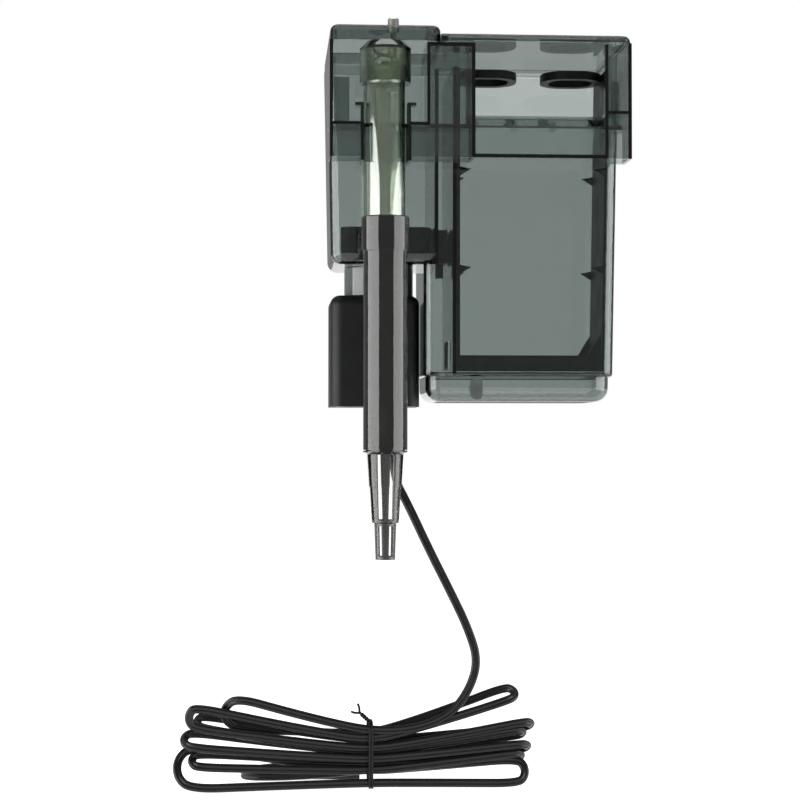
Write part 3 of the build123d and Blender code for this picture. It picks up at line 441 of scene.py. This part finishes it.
# ---- Clear mouldings ----
def clear_plastic(name, transmittance, thickness, roughness, grain, milk=0.0, tint="FFFFFF",
                  coat=0.0):
    """A moulded clear plastic that lets this share of red, green and blue through a wall this thick."""
    material, tree, out = new_material(name)
    where = add_node(tree, "ShaderNodeTexCoord")
    flow = add_node(tree, "ShaderNodeTexNoise",
                    {"Vector": where.outputs["Object"], "Scale": 1 / grain, "Detail": 1.0})
    bump = add_node(tree, "ShaderNodeBump",
                    {"Height": flow.outputs["Fac"], "Strength": 0.25, "Distance": 0.04 * MM})
    shader = add_node(tree, "ShaderNodeBsdfPrincipled",
                      {"Base Color": linear(tint), "Roughness": roughness, "IOR": 1.5,
                       "Transmission Weight": 1.0 - milk, "Normal": bump.outputs["Normal"],
                       "Coat Weight": coat, "Coat IOR": 1.9, "Coat Roughness": 0.05})
    colour, density = absorption(transmittance, thickness)
    volume = add_node(tree, "ShaderNodeVolumeAbsorption", {"Color": colour, "Density": density})
    tree.links.new(shader.outputs[0], out.inputs["Surface"])
    tree.links.new(volume.outputs[0], out.inputs["Volume"])
    return material


class FILTER_OT_clear_mouldings(bpy.types.Operator):
    """Smoke-tinted case and lids, clear intake, grey extension, strainer and neck"""
    bl_idname = "filter.clear_mouldings"
    bl_label = "Clear mouldings"

    def execute(self, context):
        # smoke-tinted styrene copolymer, injection moulded: glassy, with faint flow waves
        smoke = clear_plastic("smoke_styrene", (0.430, 0.475, 0.460), 2.2 * MM, 0.01, 22 * MM)
        coat_nodes(smoke, "filter_case")
        # the same styrene in a deeper tint, for the lids
        deep = clear_plastic("deep_smoke_styrene", (0.295, 0.335, 0.325), 2.0 * MM, 0.01, 22 * MM)
        coat_nodes(deep, "intake_lid", "media_lid")
        # clear styrene tube with a warmer, paler tint
        tube = clear_plastic("pale_smoke_tube", (0.68, 0.73, 0.65), 1.4 * MM, 0.02, 16 * MM, coat=0.6)
        coat_nodes(tube, "intake_elbow", "intake_pipe", "flow_valve")
        # extruded grey styrene tube: slightly milky
        grey = clear_plastic("grey_tube", (0.31, 0.33, 0.31), 1.1 * MM, 0.05, 12 * MM, 0.03, "8E928A", 0.04)
        coat_nodes(grey, "extension_pipe")
        # polypropylene strainer: cloudy
        cloudy = clear_plastic("cloudy_strainer", (0.27, 0.29, 0.25), 1.4 * MM, 0.12, 9 * MM, 0.05, "5C5E56")
        coat_nodes(cloudy, "strainer")
        neck = clear_plastic("cloudy_neck", (0.33, 0.38, 0.36), 2.5 * MM, 0.12, 9 * MM, 0.14, "B4BAB8")
        coat_nodes(neck, "impeller_well", "levelling_foot")
        return {"FINISHED"}


# ---- Opaque mouldings and metal ----
def moulded(name, colour, roughness, grain, depth, ior=1.5, metallic=0.0):
    """A moulded or cast opaque finish with a fine grain of this size and depth."""
    material, tree, out = new_material(name)
    where = add_node(tree, "ShaderNodeTexCoord")
    speck = add_node(tree, "ShaderNodeTexNoise",
                     {"Vector": where.outputs["Object"], "Scale": 1 / grain, "Detail": 3.0})
    cloud = add_node(tree, "ShaderNodeTexNoise",
                     {"Vector": where.outputs["Object"], "Scale": 1 / (18 * MM), "Detail": 3.0})
    gloss = add_node(tree, "ShaderNodeMapRange",
                     {"Value": cloud.outputs["Fac"], "From Min": 0.3, "From Max": 0.7,
                      "To Min": roughness - 0.05, "To Max": roughness + 0.07})
    bump = add_node(tree, "ShaderNodeBump",
                    {"Height": speck.outputs["Fac"], "Strength": 0.3, "Distance": depth})
    shader = add_node(tree, "ShaderNodeBsdfPrincipled",
                      {"Base Color": linear(colour), "Roughness": gloss.outputs["Result"],
                       "Metallic": metallic, "Normal": bump.outputs["Normal"], "IOR": ior,
                       "Specular IOR Level": 0.5 if metallic else 0.2})
    tree.links.new(shader.outputs[0], out.inputs[0])
    return material


class FILTER_OT_opaque_parts(bpy.types.Operator):
    """Black mouldings, rubber, metal and ceramic pieces"""
    bl_idname = "filter.opaque_parts"
    bl_label = "Opaque parts"

    def execute(self, context):
        black = context.scene.filter_colours.black
        # spark-eroded black ABS: an even satin grain
        abs_black = moulded("grained_black_abs", black, 0.42, 0.6 * MM, 0.06 * MM)
        coat_nodes(abs_black, "motor_shell", "motor_base", "pump_volute", "volute_cover", "media_frame",
                   "impeller")
        coat_nodes(moulded("black_plug_pvc", "121212", 0.45, 0.8 * MM, 0.05 * MM), "plug_body")
        coat_nodes(moulded("nitrile_rubber", "161616", 0.6, 0.5 * MM, 0.04 * MM), "elbow_seal",
                   "upper_bush", "lower_bush", "well_o_ring")
        coat_nodes(moulded("sintered_ferrite", "2A2A2C", 0.55, 0.4 * MM, 0.05 * MM), "rotor_magnet")
        coat_nodes(moulded("glazed_ceramic", "E8E6DE", 0.2, 1.0 * MM, 0.01 * MM), "impeller_shaft")
        coat_nodes(moulded("nickel_plate", "C8C4BA", 0.25, 0.4 * MM, 0.01 * MM, metallic=1.0), "plug_pins",
                   "flow_knob", "base_screws")
        coat_nodes(moulded("silicon_steel", "7C7E82", 0.4, 0.35 * MM, 0.04 * MM, metallic=1.0),
                   "stator_core")
        coat_nodes(moulded("varnished_copper", "9A5B34", 0.35, 0.3 * MM, 0.05 * MM, metallic=1.0),
                   "stator_coil")
        return {"FINISHED"}


class FILTER_PT_panel(bpy.types.Panel):
    """Lists the filter's pieces and the stage"""
    bl_idname = "FILTER_PT_panel"
    bl_label = "Aquarium filter"
    bl_space_type = "VIEW_3D"
    bl_region_type = "UI"
    bl_category = "Filter"

    def draw(self, context):
        for operator in OPERATORS:
            self.layout.operator(operator.bl_idname)
        for group in (context.scene.filter_sizes, context.scene.filter_colours):
            for key in group.__annotations__:
                self.layout.prop(group, key)


OPERATORS = (FILTER_OT_stage, FILTER_OT_twist_tie, FILTER_OT_cord, FILTER_OT_clear_mouldings,
             FILTER_OT_opaque_parts)
CLASSES = (FilterSizes, FilterColours, *OPERATORS, FILTER_PT_panel)


def register():
    for item in CLASSES:
        bpy.utils.register_class(item)
    bpy.types.Scene.filter_sizes = bpy.props.PointerProperty(type=FilterSizes)
    bpy.types.Scene.filter_colours = bpy.props.PointerProperty(type=FilterColours)


def unregister():
    del bpy.types.Scene.filter_colours
    del bpy.types.Scene.filter_sizes
    for item in reversed(CLASSES):
        bpy.utils.unregister_class(item)


def main():
    register()
    bpy.ops.filter.stage()
    bpy.ops.filter.twist_tie()
    bpy.ops.filter.cord()
    bpy.ops.filter.clear_mouldings()
    bpy.ops.filter.opaque_parts()


if __name__ == "__main__":
    main()
